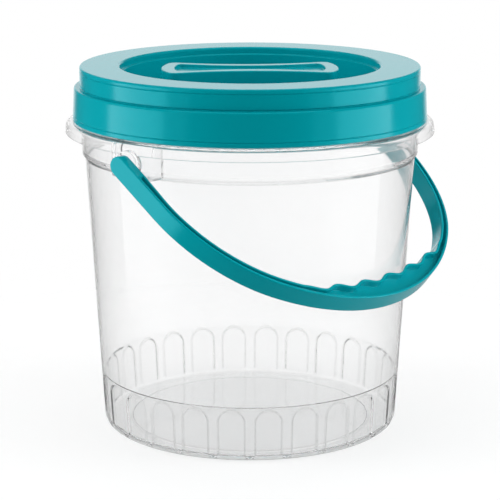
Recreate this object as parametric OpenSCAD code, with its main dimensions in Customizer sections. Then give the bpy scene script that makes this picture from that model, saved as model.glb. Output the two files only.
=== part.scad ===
// Clear five-litre food pail with a screw lid, a lid seal and a swinging carry handle.
// The origin is the middle of the foot, +Z is up, the handle pivots along X and hangs towards -Y.

/* [Pail wall] */
// Outer radius of the wall, measured at table height
foot_r = 89.4; // [84:0.1:92]
// Outer radius of the wall under the shoulder
wall_top_r = 99; // [96:0.1:99.5]
// Height at which the shoulder starts
shoulder_z = 165.4; // [150:0.1:167]
// Step out, and up, from the wall to the neck band
shoulder_step = 1.8; // [1:0.1:2.2]
// Thickness of the wall
wall = 1.8; // [1.2:0.1:2.4]

/* [Pail base] */
// Height of the floor's underside over the table
floor_lift = 0.8; // [0.4:0.1:4]
// Thickness of the floor
floor_t = 1.6; // [1.2:0.1:3]
// Width of the flat ring that the pail stands on
foot_w = 12.5; // [3:0.1:16]
// Rounding at the lower edge of the wall
foot_round = 4.5; // [2:0.1:6]
// Rounding between the wall and the floor, inside
floor_round = 3; // [1:0.1:6]

/* [Arch band] */
// Number of arches round the base
arch_count = 26; // [16:1:28]
// Width of one arch
arch_w = 15.6; // [10:0.1:17]
// Height of the arches' crowns
arch_top_z = 31.4; // [24:0.1:32]
// Depth of an arch's panel
arch_depth = 0.8; // [0.4:0.1:1.2]
// Top of the thicker band that the arches are sunk in
band_z = 33.3; // [33:0.1:50]
// Extra thickness of the band, inside
band_extra = 0.8; // [0.4:0.1:2]
// Angle of one pillar between two arches, from +X
arch_turn = 9.8; // [0:0.1:13.8]

/* [Collar and ears] */
// Height of the collar's lower edge
collar_z = 180; // [179:0.1:184]
// Radius of the collar's lower edge
collar_r = 110.7; // [109.5:0.1:116]
// Height of the collar
collar_h = 6.8; // [5:0.1:9]
// Rounding at the collar's upper edge
collar_round = 3.6; // [2:0.1:4.5]
// Flare of the collar below its rounding
collar_flare = 0.8; // [0.2:0.1:2]
// Thickness of the collar
collar_t = 1.6; // [1.2:0.1:2.2]
// Width of an ear
ear_w = 31; // [24:0.5:40]
// Height of the ears' lower edge over the shoulder's start
ear_rise = 1.1; // [0:0.1:1.6]
// Thickness of an ear's walls
ear_t = 2.2; // [1.4:0.1:2.6]
// Set-back of an ear's face behind the collar's lower edge
ear_inset = 0.4; // [0.2:0.1:0.6]
// Height of the handle's pivot
pivot_z = 175; // [171:0.1:176]
// Radius of the round boss on an ear
boss_r = 8; // [6.5:0.1:9]
// Length of the boss in front of an ear's face
boss_len = 3.4; // [2:0.1:6]
// Radius of the pivot stud on a boss
stud_r = 4; // [3:0.1:4.6]
// Length of a stud in front of its boss
stud_len = 4; // [3:0.1:4.4]
// Chamfer at a stud's tip
stud_tip = 0.6; // [0.2:0.1:1]

/* [Lid] */
// Radius of the lid's lower edge
lid_r = 106; // [105.5:0.1:107]
// Height of the wide lower tier
lower_tier_h = 19.6; // [16:0.1:26]
// Radius lost by the lower tier from its edge to its top
lid_draft = 1; // [0.4:0.1:1.2]
// Radius of the narrow upper tier
upper_tier_r = 101.6; // [101:0.1:102.4]
// Height of the upper tier
upper_tier_h = 12.2; // [11:0.1:18]
// Thickness of the lid
lid_t = 2; // [1.6:0.1:2.4]
// Rounding at the lid's outer top edge
top_round = 2.2; // [1:0.1:2.2]
// Rounding at the top of the lower tier
tier_round = 1.2; // [0.4:0.1:1.6]
// Width of the fine grooves under the lid's top edge and over its lower edge
groove_w = 0.8; // [0.4:0.1:1.2]
// Depth of the fine grooves
groove_d = 0.5; // [0.2:0.1:0.8]
// Plain rim between a fine groove and its edge of the lid
groove_rim = 2.4; // [2.3:0.1:4]
// Play between the lid's lower edge and the collar
lid_gap = 0.4; // [0.3:0.1:1.5]
// Play between the neck's rim and the inside of the upper tier
rim_gap = 1; // [0.5:0.1:1.5]

/* [Lid well and grip] */
// Radius of the well's mouth
well_r = 77.5; // [70:0.5:82]
// Depth of the well
well_h = 21; // [16:0.5:24]
// Depth of the ledge under the well's mouth
ledge_h = 4.3; // [3:0.1:6]
// Width of the ledge
ledge_w = 1.5; // [0.5:0.1:3]
// Rounding at the well's mouth
well_round = 1.5; // [0.5:0.1:2.5]
// Draft of the well's wall below the ledge
well_draft = 1; // [0.2:0.1:2]
// Length of the turning grip
grip_len = 106; // [90:1:120]
// Width of the grip's ends, from corner to corner
grip_w = 48; // [40:1:52]
// Width of the grip's waist
grip_waist = 29; // [24:1:32]
// Rounding of the grip's four corners
grip_corner = 5; // [3.5:0.1:7]
// Drop from the lid's top to the grip's top
grip_drop = 2; // [0.5:0.1:5]
// Length of the tray in the grip's top
tray_len = 90; // [70:1:92]
// Width of the tray's ends, from corner to corner
tray_w = 33; // [26:1:35]
// Width of the tray's waist
tray_waist = 15; // [10:1:18]
// Rounding of the tray's four corners
tray_corner = 3; // [2:0.1:5]
// Depth of the tray
tray_h = 2; // [1:0.1:3]
// Angle of the grip's long axis, from +X
grip_turn = -50.5; // [-90:0.5:90]

/* [Lid seal] */
// Width of the seal ring
seal_w = 4.2; // [3:0.1:4.8]
// Thickness of the seal ring
seal_t = 2.4; // [1.6:0.1:3]
// Play all round the seal
seal_gap = 0.3; // [0.2:0.1:0.4]
// Thickness of the rib that holds the seal
rib_t = 1.6; // [1.2:0.1:2.4]
// Depth of the rib that holds the seal
rib_h = 4; // [3:0.1:6]

/* [Handle] */
// Width of the strap
strap_w = 11.4; // [10:0.1:13]
// Depth of the strap, in the plane of the bow
strap_d = 5.2; // [5:0.1:8]
// Thickness of the strap's two flanges
flange_t = 1.6; // [1.2:0.1:2]
// Thickness of the web between the flanges
web_t = 3; // [2:0.1:5]
// Reach of the bow, from the pivot to its outer edge
bow_reach = 136.4; // [134:0.1:150]
// Radius of the bow's crown
crown_r = 140; // [134:0.5:146]
// Radius of the bow's shoulders
bow_round = 91; // [80:0.5:96]
// Length of the solid tongue at each end
tongue_len = 15; // [12:0.5:24]
// Depth of the tongues, which hold the sockets
tongue_d = 6.2; // [6:0.1:9]
// Depth of the grip at its middle
hand_d = 15; // [12:0.1:16]
// Radius of the line along the finger bumps
hand_r = 260; // [200:5:400]
// Pitch of the finger bumps
finger_pitch = 23; // [21:0.5:25]
// Height of the finger bumps
finger_h = 3; // [1.5:0.1:4]
// Radial play of a stud in its socket
stud_fit = 0.06; // [0.02:0.01:0.1]
// Play between an ear's boss and the handle
side_gap = 0.6; // [0.4:0.1:2]
// Play between the wall and the grip as the handle hangs
hang_gap = 0.5; // [0.3:0.1:3]

/* [Hidden] */
$fn = 96;
teal = [0, 0.62, 0.66];
clear = [0.9, 0.94, 0.96, 0.4];
seal_white = [0.93, 0.94, 0.93];
// Length by which a cut overshoots the face it cuts
over = 1;
// Steps in one rounded corner
arc_steps = 6;
// Overlap of a corner's circle with the two lines that it rounds
corner_ease = 0.08;
// Shift of the inner line past a 45 degree step, for an even wall
step_shift = tan(22.5) * wall;

// Heights and radii of the pail
taper = (wall_top_r - foot_r) / shoulder_z;
neck_r = wall_top_r + shoulder_step;
neck_z = shoulder_z + shoulder_step;
ear_z = shoulder_z + ear_rise;
floor_z = floor_lift + floor_t;
collar_top = collar_z + collar_h;
band_t = wall + band_extra;

// Heights and radii of the lid
lid_z = collar_top + lid_gap;
tier_z = lid_z + lower_tier_h;
top_z = tier_z + upper_tier_h;
ceiling_z = top_z - lid_t;
tier_in_r = upper_tier_r - lid_t;
ledge_z = top_z - ledge_h;
well_z = top_z - well_h;
well_floor_r = well_r - ledge_w - well_draft;
grip_top = top_z - grip_drop;

// The seal hangs in the lid's groove, and the neck's rim ends just under it
seal_out_r = tier_in_r - seal_gap;
seal_in_r = seal_out_r - seal_w;
seal_z = ceiling_z - seal_gap - seal_t;
rib_r = seal_in_r - seal_gap;
rim_z = seal_z - seal_gap;
rim_r = tier_in_r - rim_gap;
neck_step = neck_r - rim_r;
neck_step_z = tier_z - lid_t - rim_gap;

// Bow of the handle, in its own plane: s runs along the pivot axis and t away from it
ear_r = collar_r - ear_inset;
ear_angle = 2 * asin(ear_w / 2 / ear_r);
ear_side_angle = 2 * asin(ear_t / 2 / ear_r);
boss_out = ear_r + boss_len;
arm_in = boss_out + side_gap;
arm_out = arm_in + tongue_d;
crown_t = bow_reach - crown_r;
arm_len = crown_t + sqrt(pow(crown_r - bow_round, 2) - pow(arm_out - bow_round, 2));
bow_angle = atan2(arm_len - crown_t, arm_out - bow_round);
bump_t = bow_reach - hand_d;
bow_steps = 10;
crown_steps = 72;
crown_step = (180 - 2 * bow_angle) / (crown_steps + 2);

// Angle below level at which the underside of the finger bumps comes to rest beside the wall
hang_p = bump_t + taper * web_t / 2;
hang_q = taper * bump_t - web_t / 2;
hang_c = foot_r + taper * pivot_z + hang_gap;
hang_angle = atan2(hang_q, hang_p) + acos(hang_c / norm([hang_p, hang_q]));

// Radius of the pail's outer wall at a height
function wall_r(z) = foot_r + taper * z;

// Points along an arc
function arc(centre, r, from, to, steps = arc_steps) = [
    for (i = [0:steps])
        let (a = from + (to - from) * i / steps)
            centre + r * [cos(a), sin(a)]
];

// Bow from one tongue to the other, as a line at a depth inside its outer edge
// Its two ends may lie at a depth of their own
function bow_line(depth, end_depth) = concat(
    [[arm_out - end_depth, tongue_len - over]],
    arc([arm_out - bow_round, arm_len], bow_round - depth, 0, bow_angle, bow_steps),
    arc([0, crown_t], crown_r - depth, bow_angle + crown_step, 180 - bow_angle - crown_step, crown_steps),
    arc([bow_round - arm_out, arm_len], bow_round - depth, 180 - bow_angle, 180, bow_steps),
    [[end_depth - arm_out, tongue_len - over]]
);

// Finger bumps along the grip, at s along the pivot axis
function finger_edge(s) =
    bump_t - s * s / 2 / hand_r + finger_h * (1 - cos(360 * s / finger_pitch)) / 2;

// Inner edge of the bow, moved outwards by a shift
// It is the strap's depth, or the finger bumps where they reach further in
function hand_line(shift) = [
    for (p = bow_line(strap_d - shift, tongue_d - shift))
        [p.x, min(p.y, finger_edge(p.x) + shift)]
];

// Wall, foot, floor, neck and collar of the pail as one profile
module pail_profile() {
    foot_out = wall_r(foot_round) - foot_round;
    band_in = wall_r(floor_z) - band_t;
    skirt_r = collar_r - collar_flare;
    polygon(concat(
        [[foot_out - foot_w, 0]],
        arc([foot_out, foot_round], foot_round, -90, 0),
        [
            [wall_top_r, shoulder_z],
            [neck_r, neck_z],
            [neck_r, collar_top - collar_t]
        ],
        arc([skirt_r - collar_round, collar_top - collar_round], collar_round - collar_t, 90, 0),
        [
            [collar_r - collar_t, collar_z],
            [collar_r, collar_z]
        ],
        arc([skirt_r - collar_round, collar_top - collar_round], collar_round, 0, 90),
        [
            [neck_r, collar_top],
            [neck_r, neck_step_z - neck_step],
            [rim_r, neck_step_z]
        ],
        arc([rim_r - wall / 2, rim_z - wall / 2], wall / 2, 0, 180),
        [
            [rim_r - wall, neck_step_z - step_shift],
            [neck_r - wall, neck_step_z - neck_step - step_shift],
            [neck_r - wall, neck_z + step_shift],
            [wall_top_r - wall, shoulder_z + step_shift],
            [wall_r(band_z) - wall, band_z],
            [wall_r(band_z) - band_t, band_z - band_extra]
        ],
        arc([band_in - floor_round, floor_z + floor_round], floor_round, 0, -90),
        [
            [0, floor_z],
            [0, floor_lift],
            [foot_out - foot_w - floor_lift / 4, floor_lift]
        ]
    ));
}

// Panels of the arch band, as deep as arch_depth and run out into the foot's rounding
module arch_panels() {
    pitch = 360 / arch_count;
    crown_z = arch_top_z - arch_w / 2;
    difference() {
        for (i = [0:arch_count - 1])
            rotate([0, 0, arch_turn + (i + 0.5) * pitch])
                translate([foot_r - band_t - over, 0, 0])
                    rotate([90, 0, 90])
                        linear_extrude(band_t + taper * arch_top_z + 2 * over) {
                            translate([-arch_w / 2, 0])
                                square([arch_w, crown_z]);
                            translate([0, crown_z])
                                circle(d = arch_w);
                        }
        translate([0, 0, -over])
            rotate_extrude()
                polygon([
                    [0, 0],
                    [wall_r(-over) - arch_depth, 0],
                    [wall_r(band_z) - arch_depth, band_z + over],
                    [0, band_z + over]
                ]);
    }
}

// One ear at +X: a hollow box under the collar, open below, with a boss and a pivot stud on its face
module ear() {
    skirt_r = collar_r - collar_flare;
    roof_z = collar_top - collar_t / 2;
    hollow_angle = ear_angle - 2 * ear_side_angle;
    difference() {
        rotate([0, 0, -ear_angle / 2])
            rotate_extrude(angle = ear_angle)
                polygon([
                    [wall_top_r + ear_rise - wall / 2, ear_z],
                    [ear_r, ear_z],
                    [ear_r, collar_z + ear_inset],
                    [skirt_r - ear_inset, collar_top - collar_round],
                    [skirt_r - collar_round, roof_z],
                    [neck_r - wall / 2, roof_z],
                    [neck_r - wall / 2, neck_z]
                ]);
        rotate([0, 0, -hollow_angle / 2])
            rotate_extrude(angle = hollow_angle)
                translate([foot_r, ear_z - over])
                    square([ear_r - ear_t - foot_r, collar_top - ear_z + over]);
    }
    translate([ear_r, 0, pivot_z])
        rotate([0, 90, 0]) {
            translate([0, 0, -ear_t / 2])
                cylinder(r = boss_r, h = ear_t / 2 + boss_len);
            cylinder(r = stud_r, h = boss_len + stud_len - stud_tip);
            translate([0, 0, boss_len + stud_len - stud_tip])
                cylinder(r1 = stud_r, r2 = stud_r - stud_tip, h = stud_tip);
        }
}

// Pail: one clear moulding with its arch band, collar and two ears
module pail_body() {
    color(clear)
        difference() {
            union() {
                rotate_extrude()
                    pail_profile();
                ear();
                rotate([0, 0, 180])
                    ear();
            }
            arch_panels();
        }
}

// Outline with a waist: a disc cut away by two side circles, with four rounded corners
// The side circles pass through the waist and through the corners before their rounding
module waisted(len, width, waist, corner) {
    end_r = len / 2;
    hollow = (width - waist) / 2;
    reach_sq = pow(end_r, 2) - pow(width / 2, 2);
    side_r = (reach_sq + pow(hollow, 2)) / 2 / hollow;
    side_y = waist / 2 + side_r;
    corner_y = (pow(end_r - corner, 2) + pow(side_y, 2) - pow(side_r + corner, 2)) / 2 / side_y;
    corner_x = sqrt(pow(end_r - corner, 2) - pow(corner_y, 2));
    end_y = corner_y * end_r / (end_r - corner);
    top_y = corner_y + (side_y - corner_y) * corner / (side_r + corner);
    difference() {
        union() {
            intersection() {
                circle(r = end_r);
                square([len + over, 2 * end_y], center = true);
            }
            square([2 * corner_x, 2 * top_y], center = true);
            for (x = [-corner_x, corner_x], y = [-corner_y, corner_y])
                translate([x, y])
                    circle(r = corner + corner_ease);
        }
        for (side = [-1, 1])
            translate([0, side * side_y])
                circle(r = side_r);
    }
}

// Fine groove round a wall of the lid, from its lower edge to its upper edge
function fine_groove(r, z) = [
    [r, z - groove_w / 2],
    [r - groove_d, z],
    [r, z + groove_w / 2]
];

// Skirt in two tiers, flat top, well and seal groove of the lid as one profile
module lid_profile() {
    step_r = lid_r - lid_draft;
    low_groove_z = lid_z + groove_rim + groove_w / 2;
    top_groove_z = top_z - groove_rim - groove_w / 2;
    polygon(concat(
        [[lid_r, lid_z]],
        fine_groove(lid_r - lid_draft * (low_groove_z - lid_z) / lower_tier_h, low_groove_z),
        arc([step_r - tier_round, tier_z - tier_round], tier_round, 0, 90),
        [[upper_tier_r, tier_z]],
        fine_groove(upper_tier_r, top_groove_z),
        arc([upper_tier_r - top_round, top_z - top_round], top_round, 0, 90),
        arc([well_r + well_round, top_z - well_round], well_round, 90, 180),
        [
            [well_r, ledge_z],
            [well_r - ledge_w, ledge_z],
            [well_floor_r, well_z],
            [0, well_z],
            [0, well_z - lid_t],
            [well_floor_r + lid_t, well_z - lid_t],
            [well_r - ledge_w + lid_t, ledge_z - lid_t],
            [well_r + lid_t, ledge_z - lid_t],
            [well_r + lid_t, ceiling_z],
            [rib_r - rib_t, ceiling_z],
            [rib_r - rib_t, ceiling_z - rib_h],
            [rib_r, ceiling_z - rib_h],
            [rib_r, ceiling_z],
            [tier_in_r, ceiling_z],
            [tier_in_r, tier_z - lid_t],
            [step_r - lid_t, tier_z - lid_t],
            [lid_r - lid_t, lid_z]
        ]
    ));
}

// Lid: one moulding whose turning grip is a hollow island that rises from the well's floor
module lid() {
    inset = 2 * lid_t;
    color(teal)
        difference() {
            union() {
                rotate_extrude()
                    lid_profile();
                translate([0, 0, well_z - lid_t / 2])
                    rotate([0, 0, grip_turn])
                        linear_extrude(grip_top - well_z + lid_t / 2)
                            waisted(grip_len, grip_w, grip_waist, grip_corner);
            }
            translate([0, 0, grip_top - tray_h])
                rotate([0, 0, grip_turn])
                    linear_extrude(tray_h + over)
                        waisted(tray_len, tray_w, tray_waist, tray_corner);
            translate([0, 0, well_z - lid_t - over])
                rotate([0, 0, grip_turn])
                    linear_extrude(grip_top - tray_h - well_z + over)
                        waisted(grip_len - inset, grip_w - inset, grip_waist - inset, grip_corner - lid_t);
        }
}

// Seal ring in the groove under the lid's top
module lid_seal() {
    color(seal_white)
        rotate_extrude()
            translate([seal_in_r, seal_z])
                square([seal_w, seal_t]);
}

// One end of the bow at +X: a round-ended tongue with a blind socket that snaps over an ear's stud
module bow_tongue() {
    difference() {
        translate([arm_in, 0, 0])
            rotate([90, 0, 90])
                linear_extrude(tongue_d)
                    polygon(concat(
                        arc([0, 0], strap_w / 2, 90, 270, 2 * bow_steps),
                        [
                            [tongue_len, -strap_w / 2],
                            [tongue_len, strap_w / 2]
                        ]
                    ));
        translate([arm_in - over, 0, 0])
            rotate([0, 90, 0])
                cylinder(r = stud_r + stud_fit, h = over + stud_len);
    }
}

// Strip of the bow between two lines, from one height over the bow's plane to another
module bow_strip(outer_line, inner_line, low, high) {
    last = len(inner_line) - 1;
    inner_back = [for (i = [last:-1:0]) inner_line[i]];
    translate([0, 0, low])
        linear_extrude(high - low)
            polygon(concat(outer_line, inner_back));
}

// Handle: a bow with an outer flange, a web and an inner flange that waves round the fingers
// The inner flange stands on the outward side of the web alone, so that the handle hangs close to the wall
module bail_handle() {
    half_t = flange_t / 2;
    color(teal)
        translate([0, 0, pivot_z])
            rotate([180 + hang_angle, 0, 0]) {
                bow_strip(bow_line(0, 0), bow_line(flange_t, flange_t), -strap_w / 2, strap_w / 2);
                bow_strip(hand_line(flange_t), hand_line(0), -strap_w / 2, web_t / 2);
                bow_strip(bow_line(half_t, half_t), hand_line(half_t), -web_t / 2, web_t / 2);
                bow_tongue();
                mirror([1, 0, 0])
                    bow_tongue();
            }
}

pail_body();
lid();
lid_seal();
bail_handle();
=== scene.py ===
# %% [markdown]
# A clear food pail with a teal screw lid and a swinging handle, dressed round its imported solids.
# The solids fix every size and joint. Blender adds what they leave out: soft edges, the screw
# thread, the skin of the plastics, and light. Lengths of the pieces are written in millimetres,
# as on a drawing, and are turned into metres once, where a mesh or a material takes them.

# %% Load the frame
import math
import bpy
import bmesh
import numpy as np
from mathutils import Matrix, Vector


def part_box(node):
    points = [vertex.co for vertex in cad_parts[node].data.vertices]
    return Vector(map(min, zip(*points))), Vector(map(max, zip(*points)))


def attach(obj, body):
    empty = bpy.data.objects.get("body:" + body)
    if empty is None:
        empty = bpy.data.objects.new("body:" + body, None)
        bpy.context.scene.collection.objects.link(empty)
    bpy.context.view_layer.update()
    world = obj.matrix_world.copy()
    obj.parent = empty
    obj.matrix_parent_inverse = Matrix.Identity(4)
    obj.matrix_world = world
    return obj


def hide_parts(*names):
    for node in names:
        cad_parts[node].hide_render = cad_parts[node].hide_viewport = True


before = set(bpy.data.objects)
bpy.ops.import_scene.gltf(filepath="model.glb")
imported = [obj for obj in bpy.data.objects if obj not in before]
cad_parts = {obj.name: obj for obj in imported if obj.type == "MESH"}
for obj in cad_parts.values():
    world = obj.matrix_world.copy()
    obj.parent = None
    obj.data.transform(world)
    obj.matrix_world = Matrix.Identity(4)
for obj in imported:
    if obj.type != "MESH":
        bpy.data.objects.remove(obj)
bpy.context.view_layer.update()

scene = bpy.context.scene
scene.view_settings.view_transform = "Standard"
MM = 0.001

# %% [markdown]
# The camera stands where the photographer stood: a little over one metre away, looking down by
# about thirteen degrees. Its place was worked out from the ellipses of the lid, the collar and
# the foot, which fix the distance, the height and the lens together.

# %% Camera
CAMERA_PLACE = (-0.9129, -0.7005, 0.37955)
CAMERA_TILT, CAMERA_TURN = 76.576, -52.5
camera_lens = bpy.data.cameras.new("photo_camera")
camera_lens.sensor_width = 36.0
camera_lens.lens = 139.58
photo_camera = bpy.data.objects.new("photo_camera", camera_lens)
photo_camera.location = CAMERA_PLACE
photo_camera.rotation_euler = (math.radians(CAMERA_TILT), 0.0, math.radians(CAMERA_TURN))
scene.collection.objects.link(photo_camera)
scene.camera = photo_camera
print("camera stands", round(photo_camera.location.length, 3), "m from the foot")

# %% [markdown]
# The studio and the finishes are trees of shader nodes. They could be wired by hand in the
# editor, but the same few nodes come again and again: arithmetic, a mapped range, and a mix of
# two shaders. One helper places each of them, and takes a plain number or a link for an input.

# %% Node helpers


def feed(tree, value, socket):
    """Set a socket to a plain number, or link it to another node's output."""
    if isinstance(value, (int, float)):
        socket.default_value = value
    else:
        tree.links.new(value, socket)


def math_node(tree, operation, *values):
    """Result of a Math node."""
    node = tree.nodes.new("ShaderNodeMath")
    node.operation = operation
    for value, socket in zip(values, node.inputs):
        feed(tree, value, socket)
    return node.outputs[0]


def map_range(tree, value, span, onto=(0.0, 1.0), smooth=False):
    """Result of a Map Range node that takes a span onto another, with soft ends where smooth."""
    node = tree.nodes.new("ShaderNodeMapRange")
    if smooth:
        node.interpolation_type = "SMOOTHSTEP"
    for name, number in zip(("From Min", "From Max", "To Min", "To Max"), (*span, *onto)):
        node.inputs[name].default_value = number
    feed(tree, value, node.inputs["Value"])
    return node.outputs[0]


def mix_shaders(tree, share, first, second):
    """Result of a Mix Shader node."""
    node = tree.nodes.new("ShaderNodeMixShader")
    for value, socket in zip((share, first, second), node.inputs):
        feed(tree, value, socket)
    return node.outputs[0]


print("node helpers:", [helper.__name__ for helper in (feed, math_node, map_range, mix_shaders)])

# %% [markdown]
# Clear plastic shows only what is round it, so the studio matters as much as the material. The
# surroundings are plain white to the camera and through the walls. A mirror image sees that
# white only straight behind the pail, and a dim room elsewhere, as in a real studio. All other
# light from the surroundings is a weak even fill.

# %% White surroundings
PHOTO_AZIMUTH = math.radians(180.0 + 37.5)
BACKDROP_EDGE, ROOM_WHITE, FILL = (0.86, 0.97), 0.06, 0.34
world = bpy.data.worlds.new("white_studio")
scene.world = world
world.use_nodes = True
studio = world.node_tree
studio.nodes.clear()


def plain_white(strength):
    """White light from all round; strength is a number or a link."""
    node = studio.nodes.new("ShaderNodeBackground")
    node.inputs["Color"].default_value = (1.0, 1.0, 1.0, 1.0)
    feed(studio, strength, node.inputs["Strength"])
    return node.outputs[0]


behind = studio.nodes.new("ShaderNodeVectorMath")
behind.operation = "DOT_PRODUCT"
behind.inputs[1].default_value = (-math.cos(PHOTO_AZIMUTH), -math.sin(PHOTO_AZIMUTH), 0.0)
studio.links.new(studio.nodes.new("ShaderNodeTexCoord").outputs["Generated"], behind.inputs[0])
backdrop = map_range(studio, behind.outputs["Value"], BACKDROP_EDGE, (ROOM_WHITE, 1.0), smooth=True)
ray = studio.nodes.new("ShaderNodeLightPath")
seen = math_node(studio, "MAXIMUM", ray.outputs["Is Camera Ray"], ray.outputs["Is Transmission Ray"])
unseen = mix_shaders(studio, ray.outputs["Is Glossy Ray"], plain_white(FILL), plain_white(backdrop))
studio_out = studio.nodes.new("ShaderNodeOutputWorld")
studio.links.new(mix_shaders(studio, seen, unseen, plain_white(1.0)), studio_out.inputs["Surface"])
print("surroundings:", len(studio.nodes), "nodes")

# %% [markdown]
# The lamps are large and soft. Two wide panels stand low at the left and the right, as the
# camera sees the pail. They draw the pale bands on the lid's skirt and leave its middle darker.
# Two more stand over them and give light only: their mirror images would lie on the lid's flat
# top as white patches. Two weak strips in front soften the edges of the bands, and a panel over
# the back lights the lid.

# %% Soft lamps
AIM = Vector((0.0, 0.0, 0.12))


def soft_panel(name, bearing, height, distance, size, watts, mirrored=True):
    """A large lamp, seen from above at a bearing from the camera's own, aimed at the pail."""
    lamp = bpy.data.lights.new(name, "AREA")
    lamp.shape = "RECTANGLE"
    lamp.size, lamp.size_y = size
    lamp.energy = watts
    panel = bpy.data.objects.new(name, lamp)
    angle = PHOTO_AZIMUTH + math.radians(bearing)
    panel.location = (distance * math.cos(angle), distance * math.sin(angle), height)
    panel.rotation_euler = (AIM - panel.location).to_track_quat("-Z", "Y").to_euler()
    panel.visible_camera = False
    panel.visible_transmission = False
    panel.visible_glossy = mirrored
    scene.collection.objects.link(panel)
    return panel


SIDE_PANELS = (
    ("low", 76, -0.04, 1.1, (0.9, 0.52), 4.3, True),
    ("high", 82, 0.71, 1.1, (0.65, 0.98), 6.85, False),
    ("strip", 46, 0.45, 1.2, (0.36, 1.5), 1.1, True),
)
lamps = [
    soft_panel(side + "_" + name, sign * bearing, *values)
    for name, bearing, *values in SIDE_PANELS
    for side, sign in (("left", -1), ("right", 1))
]
lamps.append(soft_panel("top_panel", 180, 1.5, 0.25, (1.2, 1.2), 5.0))
print("lamps:", [lamp.name for lamp in lamps])

# %% [markdown]
# The floor is a plain pale sheet. Near the pail it is paper that catches the contact shadow.
# Most of its white is given off as light, which the camera and the clear walls see in full and
# mirror images see in part. Further out the sheet turns clear by its distance from the middle,
# and the white surroundings take over, so that no horizon and no edge shows.

# %% Floor
FLOOR_R, FLOOR_Z = 0.62, -0.0004
floor_mesh = bpy.data.meshes.new("floor")
floor_builder = bmesh.new()
bmesh.ops.create_circle(floor_builder, cap_ends=True, segments=96, radius=FLOOR_R)
floor_builder.to_mesh(floor_mesh)
floor_builder.free()
floor = bpy.data.objects.new("floor", floor_mesh)
floor.location.z = FLOOR_Z
scene.collection.objects.link(floor)
print("floor:", len(floor_mesh.polygons), "face")

# %% Floor paper
PAPER_GREY, PAPER_LIFT, PAPER_MIRRORED, PAPER_FADES = 0.4, 0.65, 0.2, (0.14, 0.5)
floor_paper = bpy.data.materials.new("floor_paper")
floor_paper.use_nodes = True
sheet = floor_paper.node_tree
sheet.nodes.clear()
paper = sheet.nodes.new("ShaderNodeBsdfDiffuse")
paper.inputs["Color"].default_value = (PAPER_GREY, PAPER_GREY, PAPER_GREY, 1.0)
paper_ray = sheet.nodes.new("ShaderNodeLightPath").outputs
past_glass = math_node(sheet, "MULTIPLY_ADD", paper_ray["Is Glossy Ray"], PAPER_MIRRORED,
                       paper_ray["Is Transmission Ray"])
paper_seen = math_node(sheet, "MAXIMUM", paper_ray["Is Camera Ray"], past_glass)
paper_seen.node.use_clamp = True
paper_glow = sheet.nodes.new("ShaderNodeEmission")
feed(sheet, math_node(sheet, "MULTIPLY", paper_seen, PAPER_LIFT), paper_glow.inputs["Strength"])
lit_paper = sheet.nodes.new("ShaderNodeAddShader")
sheet.links.new(paper.outputs[0], lit_paper.inputs[0])
sheet.links.new(paper_glow.outputs[0], lit_paper.inputs[1])
from_middle = sheet.nodes.new("ShaderNodeVectorMath")
from_middle.operation = "LENGTH"
sheet.links.new(sheet.nodes.new("ShaderNodeTexCoord").outputs["Object"], from_middle.inputs[0])
faded = map_range(sheet, from_middle.outputs["Value"], PAPER_FADES, smooth=True)
clear_sheet = sheet.nodes.new("ShaderNodeBsdfTransparent")
whole_sheet = mix_shaders(sheet, faded, lit_paper.outputs[0], clear_sheet.outputs[0])
sheet_out = sheet.nodes.new("ShaderNodeOutputMaterial")
sheet.links.new(whole_sheet, sheet_out.inputs["Surface"])
floor_mesh.materials.append(floor_paper)
print("floor paper:", len(sheet.nodes), "nodes")

# %% [markdown]
# Moulded plastic is never quite even. Its skin has a fine grain, its colour drifts a little
# where the melt flowed, and handling leaves short scuffs. Two node groups make these once, and
# each plastic takes them with its own values. They read the object's own coordinates, so they
# stay on the piece in every pose, and they put out plain values and colours only.

# %% Helpers for the groups


def node_group(name, inputs, outputs):
    """A node group with named sockets: inputs as (name, kind, value), outputs as (name, kind)."""
    group = bpy.data.node_groups.new(name, "ShaderNodeTree")
    for socket_name, kind, value in inputs:
        socket = group.interface.new_socket(
            name=socket_name, in_out="INPUT", socket_type="NodeSocket" + kind)
        socket.default_value = value
    for socket_name, kind in outputs:
        group.interface.new_socket(name=socket_name, in_out="OUTPUT", socket_type="NodeSocket" + kind)
    way_in, way_out = group.nodes.new("NodeGroupInput"), group.nodes.new("NodeGroupOutput")
    return group, way_in.outputs, way_out.inputs, group.nodes.new("ShaderNodeTexCoord").outputs["Object"]


def noise(tree, vector, scale, detail):
    """Value of a Noise texture, from minus a half to a half."""
    node = tree.nodes.new("ShaderNodeTexNoise")
    tree.links.new(vector, node.inputs["Vector"])
    node.inputs["Scale"].default_value = scale
    node.inputs["Detail"].default_value = detail
    node.inputs["Roughness"].default_value = 0.5
    return math_node(tree, "SUBTRACT", node.outputs["Fac"], 0.5)


def scaled(tree, colour, scale):
    """A colour times a value."""
    node = tree.nodes.new("ShaderNodeVectorMath")
    node.operation = "SCALE"
    tree.links.new(colour, node.inputs[0])
    tree.links.new(scale, node.inputs["Scale"])
    return node.outputs[0]


print("group helpers:", [helper.__name__ for helper in (node_group, noise, scaled)])

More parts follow.
